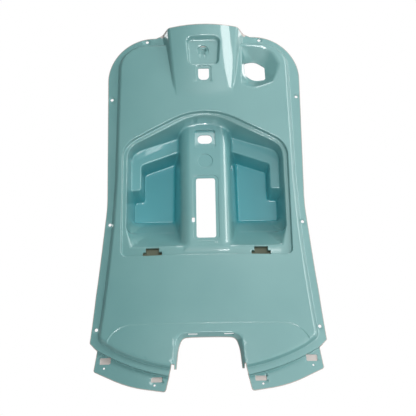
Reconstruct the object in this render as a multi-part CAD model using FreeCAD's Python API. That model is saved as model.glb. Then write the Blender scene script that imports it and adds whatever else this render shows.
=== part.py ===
import FreeCAD, Part
import math
import os

# Inner leg shield of a scooter: the thin moulded panel that faces the rider, with two open
# compartments behind a door that is fitted later, a steering column cowl and a lock funnel.
# Lengths are millimetres. X runs to the right as the rider's side is looked at, Z runs up,
# and depth is counted towards the rider, so a depth is minus Y. The panel is drawn from the
# middle of its flat board, and is set down last with its origin midway between the two
# waist screws, inside the wall of the rim.

# Main sizes: half the width at the foot, and the heights of the top and of the lowest tab end
half_width = 220.0
panel_top_z = 421.5
panel_foot_z = -325.5

# Board: crowned from side to side, upright above the bend and swept forward below it
wall = 2.8
plain_corner = 50.0
crown_radius = 1100.0
bend_radius = 480.0
bend_z = -60.0
bend_angle = 45.0
board_reach = 260.0
board_top = 480.0
back_depth = -200.0

# Rim, one step below the board, and the two foot tabs, one step below the rim
rim_step = 10.0
tab_step = 7.0
top_edge_z = panel_top_z - 10
top_corner_x = half_width - 19.5
top_corner_radius = 91.0
waist_x = half_width - 24.5
waist_z = 45.0
waist_radius = 400.0
hip_x = half_width - 6.5
hip_z = -135.0
hip_radius = 500.0
foot_x = half_width
foot_z = panel_foot_z + 96.5
foot_edge_x = half_width - 14.5
foot_edge_z = foot_z - 14.5
foot_corner_radius = 5.0
foot_edge_radius = 377.0
foot_edge_centre_z = 74.0
tab_outer_x = half_width - 10.5
tab_outer_z = panel_foot_z + 42.5
tab_inner_x = 76.0
tab_inner_z = panel_foot_z
tab_edge_x = 142.0
tab_edge_z = panel_foot_z + 10.5
tab_edge_radius = 300.0
tab_root_x = 66.0
tab_root_z = panel_foot_z + 49.5

# Raised field of the board inside the rim
field_top_z = top_edge_z - 19.5
field_corner_x = top_corner_x - 26.5
field_corner_radius = 48.0
field_middle_x = field_corner_x + 4
field_middle_z = 100.0
field_waist_x = field_corner_x + 9
field_waist_z = 0.0
field_foot_x = half_width - 17
field_foot_z = foot_z + 7
field_side_radius = 600.0
field_edge_radius = 361.0
field_edge_x = 120.0
field_edge_arc = 400.0
field_foot_radius = 14.0

# Steering column cowl
cowl_top_z = panel_top_z
cowl_corner_z = cowl_top_z - 6
cowl_half_top = 72.5
cowl_half_foot = 60.5
cowl_foot_z = 282.0
cowl_edge_depth = 20.0
cowl_sag_top = 9.0
cowl_sag_foot = 4.0
cowl_flank = 0.35
cowl_edge_radius = 5.0
cowl_rear = -60.0
ear_x = 84.0
ear_z = cowl_top_z - 3.5
ear_foot_x = 98.0

# Door recess and the two compartments with the tunnel between them
door_side_x = 166.0
door_top_z = 254.0
door_slope = 0.5
door_top_radius = 144.0
door_shoulder_radius = 45.0
door_foot_z = -62.0
door_foot_radius = 12.0
door_depth = 8.0
door_draft = 0.15
seat_width = 9.0
store_foot_z = -41.0
store_top_radius = 110.0
store_foot_radius = 14.0
ledge_depth = -58.0
ledge_side_x = 152.0
ledge_peak_z = 219.0
ledge_slope = 0.32
ledge_foot_z = -2.0
ledge_top_radius = 60.0
ledge_side_radius = 26.0
ledge_foot_radius = 12.0
floor_depth = -98.0
floor_side_x = 147.0
floor_shelf_x = 127.0
floor_peak_z = 182.0
floor_slope = 0.36
floor_top_radius = 30.0
floor_corner_radius = 8.0
floor_foot_radius = 10.0
floor_foot_z = 31.5
shelf_end_z = 75.5
shelf_radius = 6.0
shelf_edge_x = 131.0
shelf_edge_drop = 8.0
shelf_foot_z = 88.5

tunnel_half = 48.0
tunnel_top_z = 240.0
tunnel_top_depth = -32.0
tunnel_foot_z = -50.0
tunnel_foot_depth = -9.0
tunnel_draft = 0.2
tunnel_edge_radius = 14.0

# Openings in the tunnel
lock_z = 188.0
lock_half = 21.0
lock_recess_depth = 5.0
lock_hole_half_x = 14.5
lock_hole_half_z = 10.5
dimple_z = 138.0
dimple_radius = 15.0
dimple_depth = 1.2
slot_half = 19.0
slot_top_z = 99.5
slot_foot_z = -26.5
slot_radius = 4.5
slot_frame = 6.5
slot_frame_depth = 0.9
peep_x = -25.0
peep_z = 11.0
peep_half_x = 2.8
peep_half_z = 4.8

# Hinge pockets for the door, each a narrow slot over a wider one
hinge_x = 105.0
hinge_narrow_half = 13.0
hinge_wide_half = 18.5
hinge_top_z = -45.0
hinge_step_z = -53.0
hinge_foot_z = -60.5
hinge_depth = 14.0

# Hook recess and key-shaped hole in the cowl
hook_z = 362.5
hook_half_x = 33.5
hook_half_z = 29.5
hook_depth = 9.0
hook_inset = 8.0
hook_recess_radius = 11.0
hook_socket_x = -0.5
hook_socket_z = 366.0
hook_socket_half_x = 4.5
hook_socket_half_z = 7.0
hook_socket_depth = 5.0
hook_seat_radius = 12.0
hook_seat_depth = 1.0
key_half = 11.0
key_top_z = 328.0
key_foot_z = 304.0
key_frame = 4.5
key_frame_depth = 2.5

# Lock funnel beside the cowl
funnel_mouth = [(81, 386, 10), (138, 389, 30), (170, 347, 5), (138, 306, 28), (100, 293, 28), (81, 302, 15)]
funnel_throat = [(85, 356, 5), (110, 359, 12), (128, 347, 5), (129, 317, 6), (105, 315, 12), (88, 328, 10)]
funnel_mouth_depth = -5.0
funnel_throat_depth = -27.0

# Notch at the foot, with a lip turned back around it
notch_x = 1.5
notch_depth = 30.0
notch_reach = 60.0
notch_top_z = -211.5
notch_half = 63.0
notch_foot_half = 54.0
notch_foot_z = -300.0
notch_radius = 20.0
notch_side_lean = 0.38
notch_top_lean = 0.76
notch_lip = 14.0
notch_slot_xs = (-28.0, 38.0)
notch_slot_half = 8.5
notch_slot_depth = 21.5
notch_slot_reach = 5.0
prong_x = 61.0
prong_half = 2.0
prong_foot_z = tab_root_z - 8

# Apron panel, a shallow step above the notch
apron_top_z = -197.5
apron_half = 154.0
apron_corner_x = 190.0
apron_corner_z = -226.0
apron_top_radius = 22.0
apron_side_radius = 14.0
apron_step = 1.0

# Screws in the rim, and the fixings in the tabs
waist_screw = (waist_x - 6, 7.5)
screws = [
    (117.5, top_edge_z - 7),
    (top_corner_x - 10, top_edge_z - 134),
    waist_screw,
    (foot_x - 11, foot_z + 26.5),
]
screw_radius = 3.2
screw_seat_radius = 5.8
screw_seat_depth = 1.2
outer_pad = (tab_outer_x - 21, tab_outer_z + 19.5)
outer_pad_size = (20.0, 12.0)
inner_pad = (tab_inner_x + 16.5, tab_inner_z + 23.5)
inner_pad_size = (20.0, 9.0)
pad_depth = 1.2
pin_holes = [(tab_outer_x - 19.5, tab_outer_z + 6), (tab_inner_x + 20, tab_inner_z + 13.5)]
pin_radius = 2.0


def spot(x, z, depth=0.0):
    """A point on the board, with its depth towards the rider."""
    return FreeCAD.Vector(x, -depth, z)


def whole(half):
    """A closed outline from its right half, listed from the top of the centreline down."""
    return half + [(-x, z, r) for x, z, r in reversed(half) if x > 0]


def grown(points, growth):
    """An outline with each side moved outwards; growth has one distance for each side."""
    sides = []
    for i, (x, z, r) in enumerate(points):
        next_x, next_z, next_r = points[(i + 1) % len(points)]
        length = math.hypot(next_x - x, next_z - z)
        out_x = (z - next_z) / length
        out_z = (next_x - x) / length
        sides.append((out_x, out_z, out_x * x + out_z * z + growth[i]))
    moved = []
    for i, (x, z, r) in enumerate(points):
        a, b = sides[i - 1], sides[i]
        turn = a[0] * b[1] - a[1] * b[0]
        new_x = (a[2] * b[1] - b[2] * a[1]) / turn
        new_z = (a[0] * b[2] - b[0] * a[2]) / turn
        change = (growth[i - 1] + growth[i]) / 2 * (1 if turn < 0 else -1)
        moved.append((new_x, new_z, max(r + change, 0.6) if r else 0))
    return moved


def ring(points, depth):
    """The edges of an outline at one depth, its corners rounded as far as its sides allow."""
    corners = []
    for i, (x, z, r) in enumerate(points):
        here = spot(x, z, depth)
        before = spot(points[i - 1][0], points[i - 1][1], depth)
        after = spot(points[(i + 1) % len(points)][0], points[(i + 1) % len(points)][1], depth)
        into = here - before
        out = after - here
        turn = into.getAngle(out)
        reach = min(r * math.tan(turn / 2), 0.49 * into.Length, 0.49 * out.Length)
        radius = reach / math.tan(turn / 2)
        into.normalize()
        out.normalize()
        inward = out - into
        inward.normalize()
        middle = here + inward * (radius / math.cos(turn / 2) - radius)
        corners.append((here - into * reach, middle, here + out * reach))
    edges = []
    for i, (start, middle, end) in enumerate(corners):
        if points[i][2]:
            edges.append(Part.Arc(start, middle, end).toShape())
        edges.append(Part.makeLine(end, corners[(i + 1) % len(corners)][0]))
    return edges


def between(near, far):
    """A closed solid between two rings of edges, with flat sides wherever they can be flat."""
    faces = [Part.Face(Part.Wire(near)), Part.Face(Part.Wire(far))]
    for a, b in zip(near, far):
        corners = [a.valueAt(a.FirstParameter), a.valueAt(a.LastParameter)]
        corners += [b.valueAt(b.LastParameter), b.valueAt(b.FirstParameter)]
        normal = (corners[1] - corners[0]).cross(corners[3] - corners[0])
        normal.normalize()
        straight = all(isinstance(e.Curve, Part.Line) for e in (a, b))
        if straight and abs(normal.dot(corners[2] - corners[0])) < 1e-6:
            faces.append(Part.Face(Part.makePolygon(corners + corners[:1])))
        else:
            faces.append(Part.makeRuledSurface(a, b))
    shell = Part.Shell(Part.Compound(faces).Faces)
    shell.sewShape()
    solid = Part.Solid(shell)
    if solid.Volume < 0:
        solid.reverse()
    return solid


def well(front, back, front_depth, bottom_depth, skin, lead):
    """A drafted cutter from one outline to a deeper one, grown by the skin on every side."""
    drop = front_depth - bottom_depth
    growth = []
    for i, (x, z, r) in enumerate(front):
        next_x, next_z, next_r = front[(i + 1) % len(front)]
        length = math.hypot(next_x - x, next_z - z)
        middle_x = (back[i][0] + back[(i + 1) % len(back)][0] - x - next_x) / 2
        middle_z = (back[i][1] + back[(i + 1) % len(back)][1] - z - next_z) / 2
        draft = (middle_x * (z - next_z) + middle_z * (next_x - x)) / length / drop
        growth.append(skin * math.hypot(1, draft))
    front = grown(front, growth)
    back = grown(back, growth)

    def level(depth):
        share = (front_depth - depth) / drop
        points = []
        for (x, z, r), (deep_x, deep_z, deep_r) in zip(front, back):
            plain = r == 0 or (skin and r < plain_corner)
            radius = 0 if plain else max(r + (deep_r - r) * share, 0.6)
            points.append((x + (deep_x - x) * share, z + (deep_z - z) * share, radius))
        return points

    mouth, bottom = front_depth + lead, bottom_depth - skin
    return between(ring(level(mouth), mouth), ring(level(bottom), bottom))


def straight_well(points, front_depth, bottom_depth, skin, inset, lead):
    """A well whose sides all close in by the same inset."""
    back = grown(points, [-inset] * len(points))
    return well(points, back, front_depth, bottom_depth, skin, lead)


def block(points, front_depth=200.0, rear_depth=back_depth):
    """An upright prism through the board."""
    face = Part.Face(Part.Wire(ring(points, rear_depth)))
    return face.extrude(spot(0, 0, front_depth - rear_depth))


def rectangle(x, z, half_x, half_z, radius):
    """An outline about one place."""
    return [
        (x - half_x, z + half_z, radius),
        (x + half_x, z + half_z, radius),
        (x + half_x, z - half_z, radius),
        (x - half_x, z - half_z, radius),
    ]


def behind(drop):
    """Everything behind the board, or behind a surface that lies deeper by the drop."""
    half = board_reach + drop
    radius = crown_radius - drop
    edge = math.sqrt(radius * radius - half * half) - crown_radius
    rear = back_depth - drop
    arc = Part.Arc(spot(-half, bend_z, edge), spot(0, bend_z, -drop), spot(half, bend_z, edge))
    sides = Part.makePolygon(
        [
            spot(half, bend_z, edge),
            spot(half, bend_z, rear),
            spot(-half, bend_z, rear),
            spot(-half, bend_z, edge),
        ]
    )
    face = Part.Face(Part.Wire([arc.toShape()] + sides.Edges))
    upper = face.extrude(spot(0, board_top - bend_z + drop))
    axis = spot(0, bend_z, bend_radius)
    lower = face.revolve(axis, FreeCAD.Vector(1, 0, 0), -bend_angle)
    return upper.fuse(lower)


def depth_at(x, z):
    """The depth of the board's rider side at one place."""
    crown = math.sqrt(crown_radius ** 2 - x * x) - crown_radius
    if z > bend_z:
        return crown
    return bend_radius - math.sqrt((bend_radius - crown) ** 2 - (bend_z - z) ** 2)


def field_block(skin):
    """The raised field inside the rim."""
    edge_z = foot_edge_centre_z - math.sqrt(field_edge_radius ** 2 - field_edge_x ** 2)
    points = whole(
        [
            (field_corner_x, field_top_z, field_corner_radius),
            (field_middle_x, field_middle_z, field_side_radius),
            (field_waist_x, field_waist_z, field_side_radius),
            (field_foot_x, field_foot_z, field_foot_radius),
            (field_edge_x, edge_z, field_edge_arc),
            (0, foot_edge_centre_z - field_edge_radius, 0),
        ]
    )
    return behind(skin).common(block(grown(points, [-skin] * len(points))))


def rim_block(skin):
    """The rim's level, which ends at the step down to the foot tabs."""
    far = board_reach + 10
    edge = foot_edge_radius - skin
    arc = Part.Arc(
        spot(far, foot_edge_centre_z - math.sqrt(edge ** 2 - far ** 2), back_depth),
        spot(0, foot_edge_centre_z - edge, back_depth),
        spot(-far, foot_edge_centre_z - math.sqrt(edge ** 2 - far ** 2), back_depth),
    ).toShape()
    ends = [v.Point for v in arc.Vertexes]
    top = board_top + 10
    around = Part.makePolygon([ends[1], spot(-far, top, back_depth), spot(far, top, back_depth), ends[0]])
    face = Part.Face(Part.Wire([arc] + around.Edges))
    return behind(rim_step + skin).common(face.extrude(spot(0, 0, 200 - back_depth)))


def upright_edges(solid, rear):
    """The long front edges of a ridge, in front of a given depth."""
    found = []
    for edge in solid.Edges:
        a, b = [v.Point for v in edge.Vertexes]
        if abs(a.z - b.z) > 100 and min(-a.y, -b.y) > rear:
            found.append(edge)
    return found


def cowl(skin):
    """The cowl over the steering column, which runs out into the board at its foot."""
    foot_depth = depth_at(cowl_half_foot, cowl_foot_z)
    sections = []
    for z in (board_top, cowl_foot_z - 40):
        share = (z - cowl_foot_z) / (cowl_corner_z - cowl_foot_z)
        half = cowl_half_foot + (cowl_half_top - cowl_half_foot) * share
        half += skin * (cowl_flank - math.hypot(1, cowl_flank))
        edge = foot_depth + (cowl_edge_depth - foot_depth) * share - skin
        sag = cowl_sag_foot + (cowl_sag_top - cowl_sag_foot) * share
        foot = half + cowl_flank * (edge - cowl_rear)
        rear = [spot(foot, z, cowl_rear), spot(-foot, z, cowl_rear)]
        corners = [spot(half, z, edge)] + rear + [spot(-half, z, edge)]
        arc = Part.Arc(corners[3], spot(0, z, edge + sag), corners[0]).toShape()
        sections.append([arc] + [Part.makeLine(a, b) for a, b in zip(corners, corners[1:])])
    solid = between(*sections)
    return solid.makeFillet(max(cowl_edge_radius - skin, 0.6), upright_edges(solid, cowl_rear + 1))


def tunnel(skin):
    """The ridge between the two compartments, whose face leans back towards its top."""
    rear = floor_depth - 40
    half = tunnel_half + skin * (tunnel_draft - math.hypot(1, tunnel_draft))
    sections = []
    for z, depth in ((tunnel_top_z, tunnel_top_depth), (tunnel_foot_z, tunnel_foot_depth)):
        front = depth - skin
        foot = half + tunnel_draft * (front - rear)
        corners = [spot(-half, z, front), spot(half, z, front), spot(foot, z, rear), spot(-foot, z, rear)]
        sections.append([Part.makeLine(a, b) for a, b in zip(corners, corners[1:] + corners[:1])])
    solid = between(*sections)
    return solid.makeFillet(tunnel_edge_radius - skin, upright_edges(solid, rear + 1))


def door_outline(inset):
    """The outline of the door's recess, or of what lies inside it."""
    side = door_side_x - inset
    peak = door_top_z - inset * math.hypot(1, door_slope)
    half = [
        (0, peak, door_top_radius - inset),
        (side, peak - door_slope * side, door_shoulder_radius - inset),
        (side, door_foot_z + inset, door_foot_radius),
    ]
    return whole(half)


def door_recess(skin):
    """The stepped recess that the door lies in."""
    deep = straight_well(door_outline(0), 0, -60, skin, door_draft * 60, 60)
    return deep.cut(behind(door_depth + skin))


def store(skin):
    """The two compartments, from the seat down to the ledge."""
    front = door_outline(seat_width)
    front[0] = (0, front[0][1], store_top_radius)
    front[2] = (front[2][0], store_foot_z, store_foot_radius)
    front[3] = (-front[2][0], store_foot_z, store_foot_radius)
    back = whole(
        [
            (0, ledge_peak_z, ledge_top_radius),
            (ledge_side_x, ledge_peak_z - ledge_slope * ledge_side_x, ledge_side_radius),
            (ledge_side_x, ledge_foot_z, ledge_foot_radius),
        ]
    )
    return well(front, back, -door_depth, ledge_depth, skin, 20)


def store_floor(skin):
    """The deep part of the compartments, which leaves a shelf along the top and the side."""
    top_z = floor_peak_z + shelf_edge_drop
    front = whole(
        [
            (0, top_z, floor_top_radius),
            (shelf_edge_x, top_z - floor_slope * shelf_edge_x, floor_corner_radius),
            (shelf_edge_x, shelf_foot_z, shelf_radius),
            (ledge_side_x, shelf_foot_z, shelf_radius),
            (ledge_side_x, ledge_foot_z, ledge_foot_radius),
        ]
    )
    back = whole(
        [
            (0, floor_peak_z, floor_top_radius),
            (floor_shelf_x, floor_peak_z - floor_slope * floor_shelf_x, floor_corner_radius),
            (floor_shelf_x, shelf_end_z, shelf_radius),
            (floor_side_x, shelf_end_z, shelf_radius),
            (floor_side_x, floor_foot_z, floor_foot_radius),
        ]
    )
    return well(front, back, ledge_depth, floor_depth, skin, 12)


def slab(top, foot, skin=0.0):
    """Everything behind a leaning plane, given by two pairs of height and depth."""
    lean = (top[1] - foot[1]) / (top[0] - foot[0])
    back = skin * math.hypot(1, lean)
    half = 120
    corners = []
    for z in (top[0] + 60, foot[0] - 60):
        corners.append((z, foot[1] + lean * (z - foot[0]) - back))
    corners.append((foot[0] - 60, back_depth))
    corners.append((top[0] + 60, back_depth))
    points = [spot(-half, z, depth) for z, depth in corners]
    face = Part.Face(Part.makePolygon(points + points[:1]))
    return face.extrude(spot(2 * half, 0))


def tunnel_depth(z):
    """The depth of the tunnel's face at one height."""
    share = (z - tunnel_foot_z) / (tunnel_top_z - tunnel_foot_z)
    return tunnel_foot_depth + (tunnel_top_depth - tunnel_foot_depth) * share


def cowl_depth(z):
    """The depth of the middle of the cowl at one height."""
    share = (z - cowl_foot_z) / (cowl_corner_z - cowl_foot_z)
    foot = depth_at(cowl_half_foot, cowl_foot_z)
    edge = foot + (cowl_edge_depth - foot) * share
    return edge + cowl_sag_foot + (cowl_sag_top - cowl_sag_foot) * share


def lock_recess(skin):
    """The flat for the door's lock, which is deepest at its top."""
    points = rectangle(0, lock_z, lock_half, lock_half - 1, 5)
    top, foot = lock_z + lock_half, lock_z - lock_half
    floor = slab((top, tunnel_depth(top) - lock_recess_depth), (foot, tunnel_depth(foot)), skin)
    return straight_well(points, tunnel_depth(foot), -60, skin, 4, 20).cut(floor)


def hook_recess(skin):
    """The recess for the bag hook."""
    points = rectangle(0, hook_z, hook_half_x, hook_half_z, hook_recess_radius)
    top, foot = hook_z + hook_half_z, hook_z - hook_half_z
    floor = slab((top, hook_floor(top)), (foot, hook_floor(foot)), skin)
    column = straight_well(points, cowl_depth(hook_z), -20, skin, hook_inset * 2, 20)
    return column.cut(floor)


def hook_floor(z):
    """The depth of the hook recess's floor at one height."""
    return cowl_depth(z) - hook_depth


def hook_socket(skin):
    """The blind socket in the hook recess that takes the foot of the bag hook."""
    points = rectangle(hook_socket_x, hook_socket_z, hook_socket_half_x, hook_socket_half_z, 0)
    front = hook_floor(hook_socket_z)
    return straight_well(points, front, front - hook_socket_depth, skin, 0.3, 4)


def key_recess(skin):
    """The shallow frame around the key-shaped hole."""
    middle = (key_top_z + key_foot_z) / 2
    half_z = (key_top_z - key_foot_z) / 2 + key_frame
    points = rectangle(0, middle, key_half + key_frame, half_z, 4)
    top, foot = middle + half_z, middle - half_z
    drop = key_frame_depth
    floor = slab((top, cowl_depth(top) - drop), (foot, cowl_depth(foot) - drop), skin)
    return straight_well(points, cowl_depth(middle), -20, skin, 2, 12).cut(floor)


def funnel(skin):
    """The funnel that leads down to the steering lock."""
    return well(funnel_mouth, funnel_throat, funnel_mouth_depth, funnel_throat_depth, skin, 8)


def hinge_pocket(side, skin):
    """A pocket that takes one of the door's hinge tongues."""
    x = side * hinge_x
    points = [
        (x - hinge_narrow_half, hinge_top_z, 0),
        (x + hinge_narrow_half, hinge_top_z, 0),
        (x + hinge_narrow_half, hinge_step_z, 0),
        (x + hinge_wide_half, hinge_step_z, 0),
        (x + hinge_wide_half, hinge_foot_z, 0),
        (x - hinge_wide_half, hinge_foot_z, 0),
        (x - hinge_wide_half, hinge_step_z, 0),
        (x - hinge_narrow_half, hinge_step_z, 0),
    ]
    mouth = depth_at(x, hinge_step_z) - door_depth
    return straight_well(points, mouth, mouth - hinge_depth, skin, 0.5, 6)


def screw_seat(x, z):
    """The shallow seat of one rim screw."""
    seat = depth_at(x, z) - rim_step - screw_seat_depth
    return Part.makeCylinder(screw_seat_radius, 30, spot(x, z, seat), spot(0, 0, 1))


def apron():
    """The shallow panel between the board and the notch."""
    points = whole(
        [
            (apron_half, apron_top_z, apron_top_radius),
            (apron_corner_x, apron_corner_z, apron_side_radius),
            (apron_corner_x, notch_foot_z, 0),
        ]
    )
    return block(points, 100, -rim_step / 2).cut(behind(apron_step))


def notch(skin):
    """The notch at the foot, with a top and sides that lean inwards behind the board."""
    half = [
        (notch_half, notch_top_z, notch_radius),
        (notch_foot_half, notch_foot_z, 0),
    ]
    front = [(x + notch_x, z, r) for x, z, r in whole(half)]
    side = notch_side_lean * notch_reach
    back = grown(front, [-side, -side, -side, -notch_top_lean * notch_reach])
    return well(front, back, notch_depth, notch_depth - notch_reach, skin, 60)


def prong(side):
    """The outline of one end of the notch's lip, which hangs below the board."""
    x = notch_x + side * prong_x
    return rectangle(x, prong_foot_z + 20, prong_half, 20, 0)


def form(skin):
    """The solid whose rider side is the panel's face, or the same shape one skin deeper."""
    solid = behind(rim_step + tab_step + skin)
    for raised in (rim_block(skin), field_block(skin), cowl(skin)):
        solid = solid.fuse(raised)
    for hollow in (door_recess(skin), store(skin), store_floor(skin)):
        solid = solid.cut(hollow)
    solid = solid.fuse(tunnel(skin))
    hollows = [lock_recess(skin), hook_recess(skin), hook_socket(skin), key_recess(skin)]
    hollows += [funnel(skin), notch(skin)]
    for side in (-1, 1):
        hollows.append(hinge_pocket(side, skin))
    return solid.cut(hollows)


def panel_outline():
    """The outline of the whole panel, without its notch."""
    return whole(
        [
            (0, cowl_top_z + 2, 120),
            (cowl_half_top + 2, cowl_corner_z, 0),
            (ear_x, ear_z, 0),
            (ear_foot_x, top_edge_z, 0),
            (top_corner_x, top_edge_z, top_corner_radius),
            (waist_x, waist_z, waist_radius),
            (hip_x, hip_z, hip_radius),
            (foot_x, foot_z, foot_corner_radius),
            (foot_edge_x, foot_edge_z, 0),
            (tab_outer_x, tab_outer_z, foot_corner_radius),
            (tab_edge_x, tab_edge_z, tab_edge_radius),
            (tab_inner_x, tab_inner_z, foot_corner_radius),
            (tab_root_x, tab_root_z, 0),
        ]
    )


def through_holes():
    """The openings that go right through the panel."""
    middle = (key_top_z + key_foot_z) / 2
    key = rectangle(0, middle, key_half, (key_top_z - key_foot_z) / 2, 2)
    key[2] = key[2][:2] + (8,)
    key[3] = key[3][:2] + (8,)
    slot_z = (slot_top_z + slot_foot_z) / 2
    outlines = [
        key,
        rectangle(0, lock_z - 1, lock_hole_half_x, lock_hole_half_z, 9),
        rectangle(0, slot_z, slot_half, (slot_top_z - slot_foot_z) / 2, slot_radius),
        rectangle(peep_x, peep_z, peep_half_x, peep_half_z, 1),
        funnel_throat,
    ]
    holes = [block(points) for points in outlines]
    for side in (-1, 1):
        for x, z in screws:
            holes.append(Part.makeCylinder(screw_radius, 400, spot(side * x, z, back_depth), spot(0, 0, 1)))
        for x, z in pin_holes:
            holes.append(Part.makeCylinder(pin_radius, 400, spot(side * x, z, back_depth), spot(0, 0, 1)))
    return holes


def face_details():
    """The shallow marks that are only in the rider side."""
    marks = [apron()]
    under_tab = behind(rim_step + tab_step + pad_depth)
    for side in (-1, 1):
        for x, z in screws:
            marks.append(screw_seat(side * x, z))
        for (x, z), (width, height) in ((outer_pad, outer_pad_size), (inner_pad, inner_pad_size)):
            pad = block(rectangle(side * x, z, width / 2, height / 2, 0))
            marks.append(pad.cut(under_tab))
    face = tunnel_depth(dimple_z) - dimple_depth
    marks.append(Part.makeCylinder(dimple_radius, 20, spot(0, dimple_z, face), spot(0, 0, 1)))
    seat = spot(hook_socket_x, hook_socket_z, hook_floor(hook_socket_z) - hook_seat_depth)
    marks.append(Part.makeCylinder(hook_seat_radius, 5, seat, spot(0, 0, 1)))
    slot_z = (slot_top_z + slot_foot_z) / 2
    half_z = (slot_top_z - slot_foot_z) / 2 + slot_frame
    frame = block(rectangle(0, slot_z, slot_half + slot_frame, half_z, slot_radius + slot_frame))
    top, foot = slot_z + half_z, slot_z - half_z
    drop = slot_frame_depth
    marks.append(frame.cut(slab((top, tunnel_depth(top) - drop), (foot, tunnel_depth(foot) - drop))))
    return marks


def notch_trim():
    """What is cut away behind the notch's lip, and the two slots in the lip's top."""
    zone = rectangle(notch_x, (notch_top_z + tab_root_z) / 2, notch_half, 60, 0)
    parts = [block(zone).common(behind(notch_lip))]
    for x in notch_slot_xs:
        corner = spot(x - notch_slot_half, notch_top_z - 12, notch_slot_depth)
        parts.append(Part.makeBox(2 * notch_slot_half, notch_slot_reach, 14, corner))
    return parts


def leg_shield():
    """The whole panel."""
    shell = form(0).cut(form(wall))
    shell = shell.common(block(panel_outline()).fuse([block(prong(side)) for side in (-1, 1)]))
    return shell.cut(face_details() + notch_trim()).cut(through_holes())


def origin():
    """The middle between the waist screws, half way through the rim's wall."""
    return spot(0, waist_screw[1], depth_at(*waist_screw) - rim_step - wall / 2)


os.makedirs("parts", exist_ok=True)
shield = leg_shield()
shield.translate(origin().negative())
shield.exportStep("parts/leg_shield.step")
print(shield.ShapeType, len(shield.Solids), shield.isValid(), shield.Volume, shield.BoundBox)
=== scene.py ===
import math

import bpy
import numpy as np
from mathutils import Matrix, Vector, geometry, kdtree


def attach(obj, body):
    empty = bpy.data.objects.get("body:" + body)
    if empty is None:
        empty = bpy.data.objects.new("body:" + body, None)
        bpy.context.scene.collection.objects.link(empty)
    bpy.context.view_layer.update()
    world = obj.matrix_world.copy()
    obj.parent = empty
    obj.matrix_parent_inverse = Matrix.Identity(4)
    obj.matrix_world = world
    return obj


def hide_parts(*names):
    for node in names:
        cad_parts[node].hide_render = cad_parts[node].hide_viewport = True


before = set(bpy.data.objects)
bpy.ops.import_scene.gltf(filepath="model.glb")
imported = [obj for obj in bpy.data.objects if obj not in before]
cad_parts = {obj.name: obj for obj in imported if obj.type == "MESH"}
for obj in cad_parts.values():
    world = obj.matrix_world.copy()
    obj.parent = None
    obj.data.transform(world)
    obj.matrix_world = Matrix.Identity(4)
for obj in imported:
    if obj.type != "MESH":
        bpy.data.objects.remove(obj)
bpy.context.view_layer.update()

# The moulded panel is rebuilt here as one fine sheet with its fillets, at the sizes of its
# construction. Lengths are millimetres until a mesh is made. X runs to the right and Z up as
# the rider looks at it, and depth is counted towards the rider. The first two values say where
# the drawing's zero lies in the shared frame.
ORIGIN_DEPTH = -27.8458
ORIGIN_Z = 7.5

# Board and rim. A leaning wall is given by its lean, how deep its outline lies and the cosine
# of its lean.
WALL = 2.8
CROWN_RADIUS = 1100.0
BEND_RADIUS = 480.0
BEND_Z = -60.0
TOP_EDGE_Z = 411.5
RIM_STEP = 10.0
RIM_WALL = (0.2, 13, 0.98)
FIELD_WALL = (0.5, 5, 0.894)
FIELD_EDGE_RADIUS = 361.0
FIELD_FOOT_HALF = 176
FIELD_FOOT_STEP = 16
TAB_STEP = 7.0
FOOT_EDGE_RADIUS = 377.0
FOOT_EDGE_CENTRE_Z = 74.0
APRON_DROP = 1
APRON_DRAFT = 0.5

# Cowl of the steering column, with the recess and the socket of the bag hook and the key hole
COWL_TOP_Z = 421.5
COWL_CORNER_Z = 415.5
COWL_HALF_TOP = 72.5
COWL_HALF_FOOT = 60.5
COWL_FOOT_Z = 282.0
COWL_EDGE_DEPTH = 20.0
COWL_SAG_TOP = 9.0
COWL_SAG_FOOT = 4.0
COWL_FLANK = 0.35
COWL_FRONT_COSINE = 0.985
HOOK_Z = 362.5
HOOK_DROP = 9
HOOK_DRAFT = 0.42
HOOK_SLANT = 1.08
HOOK_SOCKET = (-0.5, 366.0)
SOCKET_DROP = 5
SOCKET_DRAFT = 0.06
RING_RADIUS = 12
RING_DROP = 1
RING_DRAFT = 0.2
KEY_Z = 316.0
KEY_DROP = 2.5
KEY_DRAFT = 0.07

# Door recess, compartments and the ridge between them
DOOR_DEPTH = 8.0
DOOR_DRAFT = 0.15
LEDGE_DEPTH = -58.0
FLOOR_DEPTH = -98.0
WELL_DRAFTS = (0.02, 2.5)
MOUTH_DRAFT = 0.1
FUNNEL_DEPTHS = (-5.0, -27.0)
TUNNEL_HALF = 48.0
TUNNEL_TOP = (240.0, -32.0)
TUNNEL_FOOT = (-50.0, -7.6)
TUNNEL_END_Z = -58
TUNNEL_DRAFT = 0.2
TUNNEL_COSINE = 0.98
LOCK_Z = 188.0
LOCK_REACH = 21
LOCK_DROP = 5
LOCK_DRAFT = 0.1
DIMPLE_Z = 138
DIMPLE_RADIUS = 15
DIMPLE_DROP = 1.2
SLOT_Z = 36.5
FRAME_DROP = 0.9
MARK_DRAFT = 0.3
HINGE_X = 105.0
HINGE_TOP_Z = -45
HINGE_STEP_Z = -53
HINGE_FOOT_Z = -60.5
HINGE_HALVES = (13, 18.5)
HINGE_DROP = 14
HINGE_DRAFT = 0.036

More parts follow.
